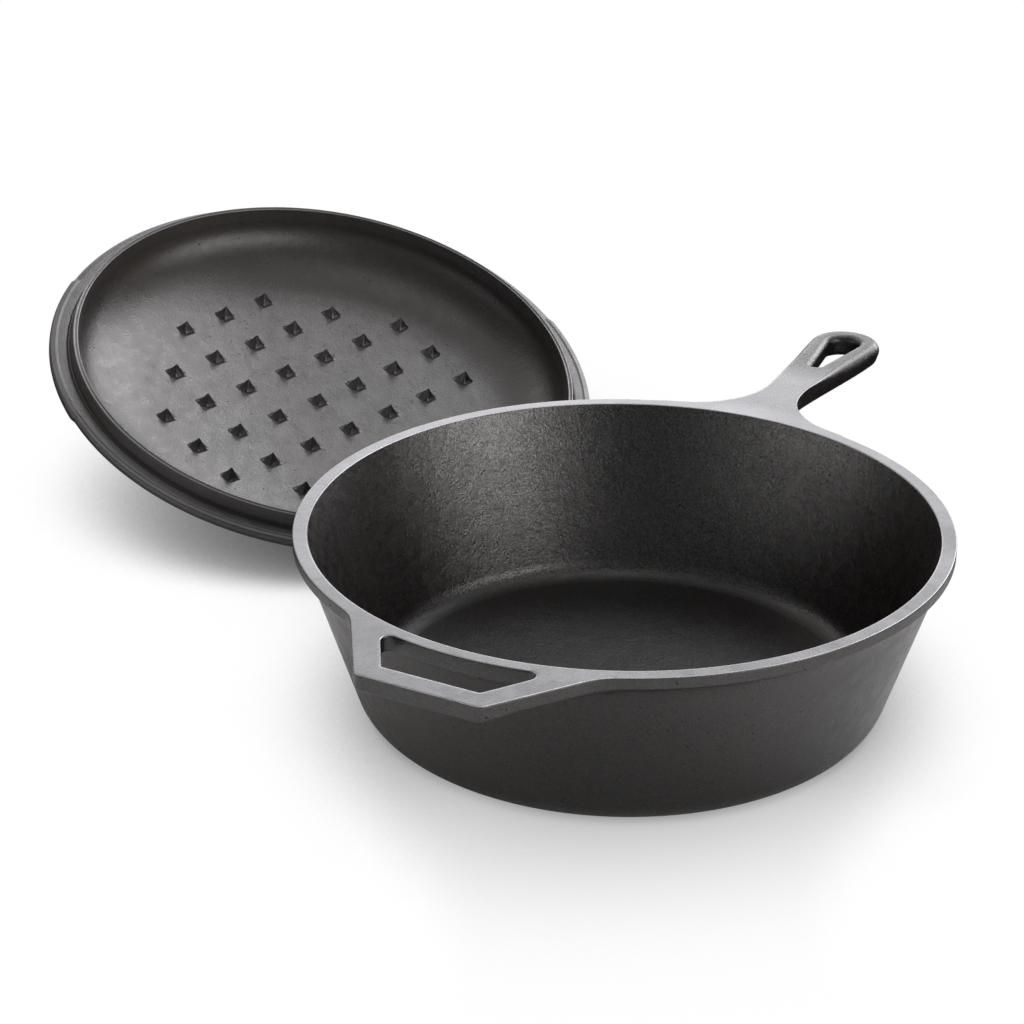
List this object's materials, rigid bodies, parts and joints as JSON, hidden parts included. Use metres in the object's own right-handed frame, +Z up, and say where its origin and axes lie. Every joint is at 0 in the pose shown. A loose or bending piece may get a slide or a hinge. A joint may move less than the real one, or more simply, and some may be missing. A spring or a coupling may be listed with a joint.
{
  "type": "covered deep skillet",
  "caption": "Deep round cast-iron skillet with a long looped handle and a short open grip, and its loose domed lid lying beside it, underside up, showing a grid of basting points.",
  "frame": {"origin": "centre of the pan's flat base, on the table", "axes": "+Z up, +X from the centre of the pan along its long handle, +Y completes the right-handed frame; the lid lies on the +X +Y side"},
  "size_m": [0.4229, 0.4837, 0.1035],
  "materials": {
    "seasoned_iron_pan": "sand cast, seasoned nearly black, with a paler ground rim",
    "seasoned_iron_lid": "sand cast, seasoned dark grey, with a paler ground brim"
  },
  "bodies": {
    "skillet": {"skillet": "seasoned_iron_pan"},
    "lid": {"lid": "seasoned_iron_lid"}
  },
  "joints": [
    {"name": "lid_swing", "type": "hinge", "parent": "skillet", "child": "lid", "pos_m": [0.0664, 0.1111, 0.0474], "axis": [0.8615, -0.5075, -0.0175], "range_deg": [0, 160.25]}
  ]
}
